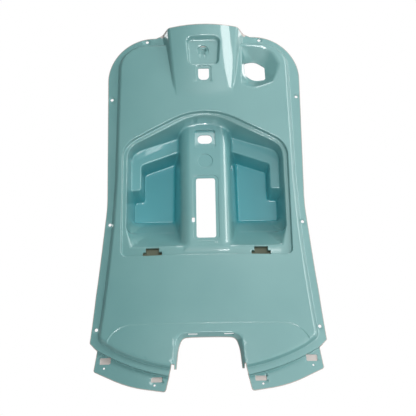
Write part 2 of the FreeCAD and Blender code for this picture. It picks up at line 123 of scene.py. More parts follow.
# Notch at the foot, with its lip, its prongs and two slots
NOTCH_X = 1.5
NOTCH_DEPTH = 30.0
NOTCH_BACK_DEPTH = -90.0
NOTCH_TOP_Z = -211.5
NOTCH_HALF = 63.0
NOTCH_END_HALF = 51.97
NOTCH_RUN = 60
NOTCH_LEANS = (0.3, 0.9)
NOTCH_TOP_LEAN = 0.76
NOTCH_BACK_Z = NOTCH_TOP_Z - NOTCH_TOP_LEAN * NOTCH_RUN
NOTCH_BACK_HALF = 34.86
NOTCH_BACK_END_HALF = 28.4
NOTCH_LIP = 14.0
PANEL_END_Z = -320
TAB_ROOT = (66.0, -276.0)
PRONG_FOOT_Z = -284.0
PRONG_OUTER = (-61.5, 64.5)
NOTCH_SLOTS = ((-28.0, 8.5), (38.0, 8.5))
NOTCH_SLOT_DEPTHS = (21.5, 16.5)

# Screw holes with their seats, pin holes, pads, and what the paint leaves bare
SCREWS = ((117.5, 404.5), (190.5, 277.5), (189.5, 7.5), (209.0, -202.5))
SCREW_RADIUS = 3.2
SEAT_RADIUS = 5.8
SEAT_DROP = 1.2
SEAT_DRAFT = 0.05
PINS = ((190.0, -277.0), (96.0, -312.0))
PIN_RADIUS = 2.0
PADS = ((188.5, -263.5, 10.0, 6.0), (92.5, -302.0, 10.0, 4.5))
PAD_DROP = 1.2
PAD_DRAFT = 0.2
BARE_RIM = 1.1
EAR = (74.5, 92.0, 411.5)

# The fillets of each form: at its outer edge and at its root
FILLETS = {
    "rim": (1.2, 1.2), "field": (3.5, 1.5), "cowl": (5, 1.6), "door": (1.5, 1.5),
    "store": (2.5, 3), "deep": (2.5, 2.6), "tunnel": (18, 5), "lock": (0.4, 0.3),
    "hook": (2, 2), "key": (0.8, 0.6), "socket": (0.6, 0.5), "funnel": (3, 0.5),
    "hinge": (0.6, 0.5), "notch": (3, 0.5), "seat": (0.4, 0.3), "frame": (0.4, 0.4),
    "ring": (0.4, 0.4), "dimple": (0.5, 0.5), "apron": (1, 1), "pad": (0.3, 0.3),
}


def mirrored(points):
    """The points of a right half on the left, from the last to the first."""
    return [(-x, z, r) for x, z, r in reversed(points) if x > 0]


def whole(half):
    """A closed outline from its right half."""
    return half + mirrored(half)


def rectangle(x, z, half_x, half_z, r):
    """An outline about one place."""
    return [(x - half_x, z + half_z, r), (x + half_x, z + half_z, r),
            (x + half_x, z - half_z, r), (x - half_x, z - half_z, r)]


# The share of a side that a corner's arc may take, beside a round corner and beside a sharp one
SHARED_SIDE = 0.49
OWN_SIDE = 0.95
LEAST_TURN = 0.02


def rounded(points, step=3.0):
    """A closed outline as a run of points, with arcs at its corners."""
    line = []
    for i, (x, z, r) in enumerate(points):
        last, following = points[i - 1], points[(i + 1) % len(points)]
        here = np.array((x, z))
        into = here - np.array(last[:2])
        out = np.array(following[:2]) - here
        long_in, long_out = np.linalg.norm(into), np.linalg.norm(out)
        into, out = into / long_in, out / long_out
        turn = math.acos(max(-1, min(1, into @ out)))
        if r <= 0 or turn < LEAST_TURN:
            line.append(here)
            continue
        room_in = long_in * (SHARED_SIDE if last[2] else OWN_SIDE)
        room_out = long_out * (SHARED_SIDE if following[2] else OWN_SIDE)
        reach = min(r * math.tan(turn / 2), room_in, room_out)
        radius = reach / math.tan(turn / 2)
        side = 1 if into[0] * out[1] - into[1] * out[0] > 0 else -1
        normal = side * np.array((-into[1], into[0]))
        centre = here - into * reach + normal * radius
        arm = -normal * radius
        count = max(3, math.ceil(turn * radius / step))
        for k in range(count + 1):
            cosine, sine = math.cos(side * turn * k / count), math.sin(side * turn * k / count)
            turned = (arm[0] * cosine - arm[1] * sine, arm[0] * sine + arm[1] * cosine)
            line.append(centre + np.array(turned))
    return np.array(line)


def resampled(line, step, closed=True):
    """The same run of points with none further apart than the step."""
    ends = np.roll(line, -1, axis=0) if closed else line[1:]
    points = []
    for a, b in zip(line, ends):
        count = max(1, math.ceil(np.linalg.norm(b - a) / step))
        points += [a + (b - a) * k / count for k in range(count)]
    if not closed:
        points.append(line[-1])
    return np.array(points)


# Distances are exact up to this one, and places are worked through in parts of this many
EXACT_WITHIN = 60
AT_ONCE = 20000


def distance_to(x, z, line):
    """The distance to a closed line, below zero inside it."""
    a, b = line, np.roll(line, -1, axis=0)
    e = b - a
    length = np.maximum((e ** 2).sum(1), 1e-12)
    low, high = line.min(0), line.max(0)
    off_x = np.maximum(np.maximum(low[0] - x, x - high[0]), 0)
    off_z = np.maximum(np.maximum(low[1] - z, z - high[1]), 0)
    found = np.hypot(off_x, off_z)
    close = np.flatnonzero(found < EXACT_WITHIN)
    slope = np.where(np.abs(e[:, 1]) < 1e-9, 1e-9, e[:, 1])
    for start in range(0, len(close), AT_ONCE):
        part = close[start:start + AT_ONCE]
        px = x[part, None] - a[:, 0]
        pz = z[part, None] - a[:, 1]
        t = np.clip((px * e[:, 0] + pz * e[:, 1]) / length, 0, 1)
        near = np.sqrt(((px - t * e[:, 0]) ** 2 + (pz - t * e[:, 1]) ** 2).min(1))
        rises = (a[:, 1] > z[part, None]) != (b[:, 1] > z[part, None])
        crossed = rises & (px < pz * e[:, 0] / slope)
        found[part] = np.where(crossed.sum(1) % 2 == 1, -near, near)
    return found


def both(a, b, r):
    """The material common to two solids, with a rounded outer edge between them."""
    over_a, over_b = np.maximum(a + r, 0), np.maximum(b + r, 0)
    return np.minimum(np.maximum(a, b), -r) + np.hypot(over_a, over_b)


def either(a, b, r):
    """The material of two solids together, with a fillet where they meet."""
    over_a, over_b = np.maximum(r - a, 0), np.maximum(r - b, 0)
    return np.maximum(np.minimum(a, b), r) - np.hypot(over_a, over_b)


# Outlines in plan: each corner has its X, its Z and its radius
FIELD_SIDE = [(174, 392, 48), (178, 100, 600), (183, 0, 600), (203, -222, 14)]
FIELD_FOOT = [(x, FOOT_EDGE_CENTRE_Z - math.sqrt(FIELD_EDGE_RADIUS ** 2 - x * x), 0)
              for x in range(FIELD_FOOT_HALF, -FIELD_FOOT_HALF - 1, -FIELD_FOOT_STEP)]
FIELD = FIELD_SIDE + FIELD_FOOT + mirrored(FIELD_SIDE)
OUTER_HALF = [(0, COWL_TOP_Z, 800), (74.5, COWL_CORNER_Z, 0), (84, 418, 0), (98, TOP_EDGE_Z, 0),
              (200.5, TOP_EDGE_Z, 91), (195.5, 45, 400), (213.5, -135, 500), (220, -229, 5),
              (205.5, -243.5, 0), (209.5, -283, 5), (142, -315, 300), (76, -325.5, 5), TAB_ROOT + (0,)]
DOOR = whole([(0, 254, 144), (166, 171, 45), (166, -62, 12)])
STORE_MOUTH = whole([(0, 243.94, 110), (157, 165.44, 36), (157, -52, 6), (60, -44.5, 100)])
STORE_FLOOR = whole([(0, 219, 60), (152, 170.36, 26), (152, -2, 3)])
DEEP_MOUTH = whole([(0, 190, 30), (131, 142.84, 8), (131, 88.5, 6), (152, 88.5, 6), (152, -2, 3)])
DEEP_FLOOR = whole([(0, 182, 30), (127, 136.28, 8), (127, 75.5, 6), (147, 75.5, 6), (147, 31.5, 4)])
LOCK = rectangle(0, LOCK_Z, 21, 20, 5)
LOCK_HOLE = rectangle(0, LOCK_Z - 1, 14.5, 10.5, 9)
HOOK = rectangle(0, HOOK_Z, 33.5, 29.5, 11)
HOOK_FOOT = rectangle(*HOOK_SOCKET, 4.5, 7, 0.8)
KEY = rectangle(0, KEY_Z, 15.5, 16.5, 4)
KEY_HOLE = [(-11, 328, 2), (11, 328, 2), (11, 304, 8), (-11, 304, 8)]
SLOT = rectangle(0, SLOT_Z, 19, 63, 4.5)
SLOT_FRAME = rectangle(0, SLOT_Z, 25.5, 69.5, 11)
PEEP_HOLE = rectangle(-25, 11, 2.8, 4.8, 1)
FUNNEL_MOUTH = [(81, 386, 10), (140, 389, 34), (172, 346, 6),
                (143, 300, 18), (104, 289, 22), (79, 297, 8)]
FUNNEL_THROAT = [(84.5, 356, 5), (107, 360, 36), (127.5, 346, 6),
                 (128.5, 317, 5), (104, 313.5, 34), (85.5, 328, 14)]
NOTCH = [(NOTCH_X - NOTCH_HALF, NOTCH_TOP_Z, 20), (NOTCH_X + NOTCH_HALF, NOTCH_TOP_Z, 20),
         (NOTCH_X + NOTCH_END_HALF, PANEL_END_Z, 0), (NOTCH_X - NOTCH_END_HALF, PANEL_END_Z, 0)]
NOTCH_BACK = [(NOTCH_X - NOTCH_BACK_HALF, NOTCH_BACK_Z, 4),
              (NOTCH_X + NOTCH_BACK_HALF, NOTCH_BACK_Z, 4),
              (NOTCH_X + NOTCH_BACK_END_HALF, PANEL_END_Z, 0),
              (NOTCH_X - NOTCH_BACK_END_HALF, PANEL_END_Z, 0)]
APRON = whole([(189, -197.5, 48), (189, -330, 0)])
OPENINGS = (KEY_HOLE, LOCK_HOLE, SLOT, PEEP_HOLE, FUNNEL_THROAT)


def hinge(side):
    """The stepped outline of one hinge pocket."""
    x = side * HINGE_X
    upper, lower = HINGE_HALVES
    return [(x - upper, HINGE_TOP_Z, 0), (x + upper, HINGE_TOP_Z, 0),
            (x + upper, HINGE_STEP_Z, 0), (x + lower, HINGE_STEP_Z, 0),
            (x + lower, HINGE_FOOT_Z, 0), (x - lower, HINGE_FOOT_Z, 0),
            (x - lower, HINGE_STEP_Z, 0), (x - upper, HINGE_STEP_Z, 0)]


OUTLINES = {
    "field": FIELD, "door": DOOR, "store_mouth": STORE_MOUTH, "store_floor": STORE_FLOOR,
    "deep_mouth": DEEP_MOUTH, "deep_floor": DEEP_FLOOR, "lock": LOCK, "hook": HOOK, "key": KEY,
    "hook_socket": HOOK_FOOT, "slot_frame": SLOT_FRAME, "funnel_mouth": FUNNEL_MOUTH,
    "funnel_throat": FUNNEL_THROAT, "notch": NOTCH, "notch_back": NOTCH_BACK, "apron": APRON,
    "hinge_right": hinge(1), "hinge_left": hinge(-1),
}
for side in (-1, 1):
    for i, (px, pz, half_x, half_z) in enumerate(PADS):
        OUTLINES["pad_%d_%d" % (i, side > 0)] = rectangle(side * px, pz, half_x, half_z, 1)
OUTLINES = {name: rounded(points) for name, points in OUTLINES.items()}
PAD_NAMES = [name for name in OUTLINES if name.startswith("pad")]
ABOVE_FOOT = -99


class Plan:
    """What is known of a set of places before their depth is: distances in plan."""

    def __init__(self, x, z):
        self.x, self.z = x, z
        for name, outline in OUTLINES.items():
            setattr(self, name, distance_to(x, z, outline))
        foot = np.hypot(x, z - FOOT_EDGE_CENTRE_Z) - FOOT_EDGE_RADIUS
        self.rim = np.where(z < 0, foot, ABOVE_FOOT)
        self.screws = [np.hypot(np.abs(x) - sx, z - sz) for sx, sz in SCREWS]


# Depths of the curved faces
def lift(x, z, depth):
    """The height above the board's rider side."""
    turned = BEND_RADIUS - np.hypot(z - BEND_Z, BEND_RADIUS - depth)
    level = np.where(z > BEND_Z, depth, turned)
    return np.hypot(x, level + CROWN_RADIUS) - CROWN_RADIUS


def depth_of(x, z, drop):
    """The depth of the board's surface, or of one that lies deeper by the drop."""
    crown = np.sqrt((CROWN_RADIUS - drop) ** 2 - x * x) - CROWN_RADIUS
    bent = BEND_RADIUS - np.sqrt(np.maximum((BEND_RADIUS - crown) ** 2 - (BEND_Z - z) ** 2, 0))
    return np.where(z > BEND_Z, crown, bent)


def tunnel_depth(z):
    """The depth of the ridge's face."""
    rise = TUNNEL_TOP[1] - TUNNEL_FOOT[1]
    return TUNNEL_FOOT[1] + rise * (z - TUNNEL_FOOT[0]) / (TUNNEL_TOP[0] - TUNNEL_FOOT[0])


COWL_FOOT_DEPTH = float(depth_of(np.array(COWL_HALF_FOOT), np.array(COWL_FOOT_Z), 0))
HINGE_MOUTH = float(depth_of(HINGE_X, HINGE_STEP_Z, 0)) - DOOR_DEPTH


def cowl_share(z):
    """How far up the cowl a height lies."""
    return (z - COWL_FOOT_Z) / (COWL_CORNER_Z - COWL_FOOT_Z)


def cowl_half(z):
    """Half the width of the cowl's front."""
    return COWL_HALF_FOOT + (COWL_HALF_TOP - COWL_HALF_FOOT) * cowl_share(z)


def cowl_edge(z):
    """The depth of the cowl's front edges."""
    return COWL_FOOT_DEPTH + (COWL_EDGE_DEPTH - COWL_FOOT_DEPTH) * cowl_share(z)


def cowl_depth(x, z):
    """The depth of the cowl's arched front."""
    sag = COWL_SAG_FOOT + (COWL_SAG_TOP - COWL_SAG_FOOT) * cowl_share(z)
    return cowl_edge(z) + sag * (1 - (x / cowl_half(z)) ** 2)


def notch_lean(plan):
    """How much the notch's wall leans at each place, from one of its outlines to the other."""
    return np.clip((plan.notch_back - plan.notch) / NOTCH_RUN, *NOTCH_LEANS)


class Features:
    """The panel's features at one skin, in the order they are made. Each one has whether it adds
    material, the distances to its wall and to its face, the depth of that face, and its fillets."""

    def __init__(self, plan, skin):
        self.plan, self.skin, self.entries = plan, skin, []

    def ridge(self, wall, face, level, outer, root):
        """Material added within a wall and under a face."""
        self.entries.append((True, wall, face, level, outer, root))

    def pit(self, wall, slant, floor, outer, root):
        """Material taken away within a wall and down to a floor."""
        floor = floor + np.zeros(len(self.plan.x))
        self.entries.append((False, lambda d: wall(d) / slant - self.skin, lambda d: d - floor + self.skin,
                             floor - self.skin, outer, root))

    def drop(self, edge, draft, mouth, floor, outer, root, slant=1):
        """A pit with an even draft, whose outline lies at its mouth."""
        self.pit(lambda d: edge + draft * (mouth - d), slant, floor, outer, root)

    def well(self, front, back, front_depth, floor_depth, outer, root):
        """A pit whose wall leads from one outline to another."""
        draft = np.clip((back - front) / (front_depth - floor_depth), *WELL_DRAFTS)
        self.pit(lambda d: front + np.where(d < front_depth, draft, MOUTH_DRAFT) * (front_depth - d),
                 np.hypot(1, draft), floor_depth, outer, root)

    def terrace(self, edge, wall, step, outer, root):
        """A plateau that follows the board, with a leaning wall along its edge."""
        lean, outline_depth, cosine = wall
        x, z, skin = self.plan.x, self.plan.z, self.skin
        self.ridge(lambda d: (edge + skin + lean * (lift(x, z, d) + outline_depth)) * cosine,
                   lambda d: lift(x, z, d) + step + skin, depth_of(x, z, step + skin), outer, root)

    def sunk(self, edge, draft, mouth, floor, outer, root):
        """A recess that follows the board, between two depths below it."""
        x, z, skin = self.plan.x, self.plan.z, self.skin
        self.entries.append((False, lambda d: edge - draft * (lift(x, z, d) + mouth) - skin,
                             lambda d: lift(x, z, d) + floor + skin,
                             depth_of(x, z, floor + skin), outer, root))


def add_cowl(build):
    """The cowl of the steering column."""
    x, z, skin = build.plan.x, build.plan.z, build.skin
    slant = math.hypot(1, COWL_FLANK)
    outer, root = FILLETS["cowl"]
    build.ridge(lambda d: (np.abs(x) - cowl_half(z) - COWL_FLANK * (cowl_edge(z) - d)) / slant + skin,
                lambda d: (d - cowl_depth(x, z)) * COWL_FRONT_COSINE + skin,
                cowl_depth(x, z) - skin / COWL_FRONT_COSINE, max(outer - skin, 1), root)


def add_tunnel(build):
    """The ridge between the compartments."""
    x, z, skin = build.plan.x, build.plan.z, build.skin
    front = tunnel_depth(z)
    outer, root = FILLETS["tunnel"]

    def wall(d):
        beside = np.abs(x) - TUNNEL_HALF - TUNNEL_DRAFT * (front - d)
        return np.maximum(beside * TUNNEL_COSINE + skin, TUNNEL_END_Z - z)

    build.ridge(wall, lambda d: d - front + skin, front - skin, outer - skin, root)


def add_forms(build):
    """The forms that the face and the back share."""
    plan, skin = build.plan, build.skin
    z = plan.z
    build.terrace(plan.rim, RIM_WALL, RIM_STEP, *FILLETS["rim"])
    build.terrace(plan.field, FIELD_WALL, 0, *FILLETS["field"])
    add_cowl(build)
    build.sunk(plan.door, DOOR_DRAFT, 0, DOOR_DEPTH, *FILLETS["door"])
    build.well(plan.store_mouth, plan.store_floor, -DOOR_DEPTH, LEDGE_DEPTH, *FILLETS["store"])
    build.well(plan.deep_mouth, plan.deep_floor, LEDGE_DEPTH, FLOOR_DEPTH, *FILLETS["deep"])
    add_tunnel(build)
    tunnel = tunnel_depth(z)
    lock_floor = tunnel - LOCK_DROP * np.clip((z - LOCK_Z + LOCK_REACH) / (2 * LOCK_REACH), 0, 1)
    build.drop(plan.lock, LOCK_DRAFT, tunnel, lock_floor, *FILLETS["lock"])
    front = cowl_depth(0, z)
    hook_mouth = cowl_depth(0, HOOK_Z)
    build.drop(plan.hook, HOOK_DRAFT, hook_mouth, front - HOOK_DROP, *FILLETS["hook"], HOOK_SLANT)
    build.drop(plan.key, KEY_DRAFT, front, front - KEY_DROP, *FILLETS["key"])
    hook_floor = cowl_depth(0, HOOK_SOCKET[1]) - HOOK_DROP
    build.drop(plan.hook_socket, SOCKET_DRAFT, hook_floor, hook_floor - SOCKET_DROP, *FILLETS["socket"])
    build.well(plan.funnel_mouth, plan.funnel_throat, *FUNNEL_DEPTHS, *FILLETS["funnel"])
    for pocket in (plan.hinge_left, plan.hinge_right):
        build.drop(pocket, HINGE_DRAFT, HINGE_MOUTH, HINGE_MOUTH - HINGE_DROP, *FILLETS["hinge"])
    lean = notch_lean(plan)
    outer, root = FILLETS["notch"]
    build.drop(plan.notch, lean, NOTCH_DEPTH, NOTCH_BACK_DEPTH, max(outer - skin, 0.5), root,
               np.hypot(1, lean))


def add_details(build):
    """The shallow marks that only the face has."""
    plan = build.plan
    x, z = plan.x, plan.z
    for near, (sx, sz) in zip(plan.screws, SCREWS):
        seat = float(depth_of(sx, sz, 0)) - RIM_STEP - SEAT_DROP
        build.drop(near - SEAT_RADIUS, SEAT_DRAFT, seat, seat, *FILLETS["seat"])
    tunnel = tunnel_depth(z)
    build.drop(plan.slot_frame, MARK_DRAFT, tunnel, tunnel - FRAME_DROP, *FILLETS["frame"])
    hook_floor = cowl_depth(0, HOOK_SOCKET[1]) - HOOK_DROP
    ring = np.hypot(x - HOOK_SOCKET[0], z - HOOK_SOCKET[1]) - RING_RADIUS
    build.drop(ring, RING_DRAFT, hook_floor, hook_floor - RING_DROP, *FILLETS["ring"])
    dimple = np.hypot(x, z - DIMPLE_Z) - DIMPLE_RADIUS
    build.drop(dimple, MARK_DRAFT, tunnel, tunnel - DIMPLE_DROP, *FILLETS["dimple"])
    build.sunk(plan.apron, APRON_DRAFT, 0, APRON_DROP, *FILLETS["apron"])
    tab = RIM_STEP + TAB_STEP
    for name in PAD_NAMES:
        build.sunk(getattr(plan, name), PAD_DRAFT, tab, tab + PAD_DROP, *FILLETS["pad"])


def features(plan, skin):
    """All features at one skin."""
    build = Features(plan, skin)
    add_forms(build)
    if skin == 0:
        add_details(build)
    return build.entries


def material(plan, depth, skin, made):
    """How far a point lies outside the surface at one skin, below zero inside the material."""
    solid = lift(plan.x, plan.z, depth) + RIM_STEP + TAB_STEP + skin
    for adds, wall, face, level, outer, root in made:
        if adds:
            solid = either(solid, both(face(depth), wall(depth), outer), root)
        else:
            solid = both(solid, either(-wall(depth), face(depth), root), outer)
    return solid


DEEPEST = -125.0
NEAREST = 80.0
HALVINGS = 23


def solved(plan, skin, made):
    """The depth at which a line towards the rider leaves the material."""
    low, high = np.full(len(plan.x), DEEPEST), np.full(len(plan.x), NEAREST)
    for _ in range(HALVINGS):
        middle = (low + high) / 2
        within = material(plan, middle, skin, made) < 0
        low, high = np.where(within, middle, low), np.where(within, high, middle)
    return (low + high) / 2


# The grid on which the lines along the fillets are found, and its cells, two to each square
GRID_STEP = 2.5
GRID_X = np.arange(-226, 226.1, GRID_STEP)
GRID_Z = np.arange(-330, 428.1, GRID_STEP)
GRID = np.array([(x, z) for z in GRID_Z for x in GRID_X])
ROW = len(GRID_X)
CORNER = (np.arange(len(GRID_Z) - 1)[:, None] * ROW + np.arange(ROW - 1)).ravel()
CELLS = np.concatenate([np.stack([CORNER, CORNER + 1, CORNER + ROW + 1], 1),
                        np.stack([CORNER, CORNER + ROW + 1, CORNER + ROW], 1)])


def traced(values, level, active):
    """The runs of points along which a value on the grid passes one level."""
    v = values - level
    above = v[CELLS] > 0
    count = above.sum(1)
    mixed = (count % 3 != 0) & active[CELLS].any(1)
    cells, above, count = CELLS[mixed], above[mixed], count[mixed]
    odd = np.argmax(above == (count == 1)[:, None], axis=1)
    rows = np.arange(len(cells))
    a = cells[rows, odd]
    ends = []
    for other in (1, 2):
        b = cells[rows, (odd + other) % 3]
        ends.append(np.minimum(a, b) * len(GRID) + np.maximum(a, b))
    keys, index = np.unique(np.concatenate(ends), return_inverse=True)
    a, b = keys // len(GRID), keys % len(GRID)
    share = (v[a] / (v[a] - v[b]))[:, None]
    points = GRID[a] + (GRID[b] - GRID[a]) * share
    linked = [[] for _ in keys]
    for i, j in zip(index[:len(cells)], index[len(cells):]):
        linked[i].append(j)
        linked[j].append(i)
    return [points[run] for run in chained(linked)]


def chained(linked):
    """The linked places in runs, with a ring's first place again at its end."""
    runs, seen = [], np.zeros(len(linked), bool)
    starts = [i for i in range(len(linked)) if len(linked[i]) == 1] + list(range(len(linked)))
    for start in starts:
        if seen[start]:
            continue
        run, here = [start], start
        seen[start] = True
        while True:
            onward = [j for j in linked[here] if not seen[j]]
            if not onward:
                break
            here = onward[0]
            seen[here] = True
            run.append(here)
        if len(run) > 2 and run[0] in linked[run[-1]]:
            run.append(run[0])
        if len(run) > 2:
            runs.append(run)
    return runs


def spaced(run, step):
    """A run of points at even steps."""
    length = np.concatenate([[0], np.cumsum(np.linalg.norm(np.diff(run, axis=0), axis=1))])
    count = max(1, round(length[-1] / step))
    at = np.linspace(0, length[-1], count + 1)
    return np.stack([np.interp(at, length, run[:, 0]), np.interp(at, length, run[:, 1])], 1)


# A wall gets lines where it is at least this tall and its feature still shows, and one more
# half-way up where it is tall
LEAST_WALL = 0.15
SHOWS_WITHIN = 0.4
TALL_WALL = 12
LARGE_FILLET = 2.5


def steps_of(fillet):
    """The share of a fillet's width at which lines are laid along it."""
    return (1, 0.62, 0.29, 0.08) if fillet >= LARGE_FILLET else (1, 0.29)


def feature_lines(skin):
    """The lines along the fillets and walls of every feature that can still be seen in plan."""
    plan = Plan(GRID[:, 0], GRID[:, 1])
    made = features(plan, skin)
    before = depth_of(plan.x, plan.z, RIM_STEP + TAB_STEP + skin)
    final = solved(plan, skin, made)
    lines = []
    for i, (adds, wall, face, level, outer, root) in enumerate(made):
        after = solved(plan, skin, made[:i + 1]) if i + 1 < len(made) else final
        upper, lower = (level, before) if adds else (before, level)
        lower = np.maximum(lower, DEEPEST)
        tall = upper - lower
        active = (tall > LEAST_WALL) & (np.abs(after - final) < SHOWS_WITHIN)
        sign = -1 if adds else 1
        families = [(wall(upper), [sign * outer * share for share in steps_of(outer)]),
                    (wall(upper - np.minimum(outer, tall / 2)), [0]),
                    (wall(lower + np.minimum(root, tall / 2)), [0]),
                    (wall(lower), [-sign * root * share for share in steps_of(root)])]
        if np.median(tall[active]) > TALL_WALL:
            families.append((wall((upper + lower) / 2), [0]))
        for values, levels in families:
            for one in levels:
                lines += traced(values, one, active)
        before = after
    return lines


def widened(outline, growth):
    """A square-cornered outline with its sides moved outwards, as a closed run of points."""
    points = np.array([(x, z) for x, z, r in outline])
    into = points - np.roll(points, 1, axis=0)
    into /= np.linalg.norm(into, axis=1)[:, None]
    out = np.roll(into, -1, axis=0)
    outwards = np.stack([-into[:, 1] - out[:, 1], into[:, 0] + out[:, 0]], 1)
    run = resampled(points + growth * outwards, 2.5)
    return np.concatenate([run, run[:1]])


def lip_gap(line, skin):
    """How far the wall of the notch's lip is from places in plan, at the depth where the lip ends."""
    plan = Plan(line[:, 0], line[:, 1])
    lean = notch_lean(plan)
    depth = depth_of(plan.x, plan.z, NOTCH_LIP)
    return (plan.notch + lean * (NOTCH_DEPTH - depth)) / np.hypot(1, lean) - skin


# The first guess of the lip's end, and how it is moved on to the wall
LIP_HALF = NOTCH_HALF - 6
LIP_TOP_Z = -222
LIP_FOOT_Z = -300
PROBE = 0.1
MOVES = 12
MOVE_SHARE = 0.8
LEAST_STEEP = 0.05


def notch_end(skin):
    """The run along the end of the notch's lip, from its right foot over the top to its left one."""
    corner = rounded([(-LIP_HALF, LIP_TOP_Z, 16), (LIP_HALF, LIP_TOP_Z, 16),
                      (LIP_HALF, LIP_FOOT_Z, 0), (-LIP_HALF, LIP_FOOT_Z, 0)])
    line = resampled(corner + (NOTCH_X, 0), 2.0)
    line = line[line[:, 1] > LIP_FOOT_Z + 1]
    first = int(np.argmax(np.linalg.norm(np.roll(line, 1, axis=0) - line, axis=1)))
    line = np.roll(line, -first, axis=0)
    if line[0][0] < 0:
        line = line[::-1]
    for _ in range(MOVES):
        gap = lip_gap(line, skin)
        across = (lip_gap(line + (PROBE, 0), skin) - gap) / PROBE
        along = (lip_gap(line + (0, PROBE), skin) - gap) / PROBE
        steep = np.maximum(across ** 2 + along ** 2, LEAST_STEEP)
        line = line - MOVE_SHARE * np.stack([across, along], 1) * (gap / steep)[:, None]
    return line


EDGE_STEP = 4.0
ARC_STEP = 2.0
HOLE_STEP = 3.0
SCREW_SIDES = 20
PIN_SIDES = 14


def boundary(skin):
    """The closed run around the whole panel."""
    around = rounded(whole(OUTER_HALF), EDGE_STEP)
    cut = int(np.argmin(np.linalg.norm(around - (-TAB_ROOT[0], TAB_ROOT[1]), axis=1)))
    around = np.roll(around, -cut, axis=0)
    around = resampled(around, EDGE_STEP, False)
    lip = notch_end(skin)[notch_end(0)[:, 1] > PRONG_FOOT_Z]
    feet = []
    for x, end in ((PRONG_OUTER[1], lip[0]), (PRONG_OUTER[0], lip[-1])):
        feet.append(np.array([(x, TAB_ROOT[1]), (x, PRONG_FOOT_Z), (end[0], PRONG_FOOT_Z)]))
    return np.concatenate([around, feet[0], lip, feet[1][::-1]])


def circle(x, z, radius, count):
    """A closed run around one point."""
    turn = np.arange(count) * 2 * math.pi / count
    return np.stack([x + radius * np.cos(turn), z + radius * np.sin(turn)], 1)


def holes(skin):
    """The closed runs around the openings."""
    runs = [resampled(rounded(outline, ARC_STEP), HOLE_STEP) for outline in OPENINGS]
    for side in (-1, 1):
        runs += [circle(side * x, z, SCREW_RADIUS, SCREW_SIDES) for x, z in SCREWS]
        runs += [circle(side * x, z, PIN_RADIUS, PIN_SIDES) for x, z in PINS]
    thick = skin * math.hypot(1, NOTCH_TOP_LEAN)
    for x, half in NOTCH_SLOTS:
        top, foot = [NOTCH_TOP_Z - NOTCH_TOP_LEAN * (NOTCH_DEPTH - d) + thick for d in NOTCH_SLOT_DEPTHS]
        corners = np.array([(x - half, foot), (x + half, foot), (x + half, top), (x - half, top)])
        runs.append(resampled(corners, HOLE_STEP))
    return runs


def enclosed(run):
    """Twice the area inside a closed run, above zero where it goes round to the left."""
    return (run[:, 0] * np.roll(run[:, 1], -1) - np.roll(run[:, 0], -1) * run[:, 1]).sum()


def inside(points, runs):
    """Which points lie inside the first run and in none of the others."""
    good = distance_to(points[:, 0], points[:, 1], runs[0]) < 0
    for run in runs[1:]:
        near = np.linalg.norm(points - run.mean(0), axis=1) < np.ptp(run, axis=0).max() + 5
        part = distance_to(points[near, 0], points[near, 1], run) < 0
        good[np.flatnonzero(near)[part]] = False
    return good


def clearance(points, runs):
    """How far points lie from the nearest of the runs."""
    marks = np.concatenate([resampled(run, 1.0) for run in runs])
    tree = kdtree.KDTree(len(marks))
    for k, (x, z) in enumerate(marks):
        tree.insert((x, z, 0), k)
    tree.balance()
    return np.array([tree.find((x, z, 0))[2] for x, z in points])


def painted_edge(run):
    """The run just within the panel's edge, where the paint ends."""
    along = np.roll(run, -1, axis=0) - np.roll(run, 1, axis=0)
    along /= np.linalg.norm(along, axis=1)[:, None]
    turn = 1 if enclosed(run) > 0 else -1
    return run + turn * BARE_RIM * np.stack([-along[:, 1], along[:, 0]], 1)


def unbroken(lines, keep):
    """The stretches of the lines whose points are all kept."""
    start = 0
    for run in lines:
        part = []
        for point, good in zip(run, keep[start:start + len(run)]):
            if good:
                part.append(point)
                continue
            if len(part) > 1:
                yield part
            part = []
        if len(part) > 1:
            yield part
        start += len(run)


# The side of the squares in which a sheet's even places are kept clear of its lines, and the
# stretch that these places cover
SQUARE = 2
SHEET_HALF = 222
SHEET_Z = (-328, 426)


def scattered(points, step):
    """Places on an even grid that lie clear of the points."""
    taken = {(math.floor(x / SQUARE), math.floor(z / SQUARE)) for x, z in points}
    found = []
    for z in np.arange(*SHEET_Z, step):
        for x in np.arange(-SHEET_HALF, SHEET_HALF, step):
            i, j = math.floor(x / SQUARE), math.floor(z / SQUARE)
            if not any((i + across, j + up) in taken for across in (-1, 0, 1) for up in (-1, 0, 1)):
                found.append((x, z))
    return found


# How far the lines around a hinge pocket lie outside its outline on the face, how far lines
# stay clear of the painted edge, and how close two points may be to become one
HINGE_LINES = (0.6, 0.0, -0.5)
EDGE_CLEARANCE = 0.3
SAME_PLACE = 1e-4


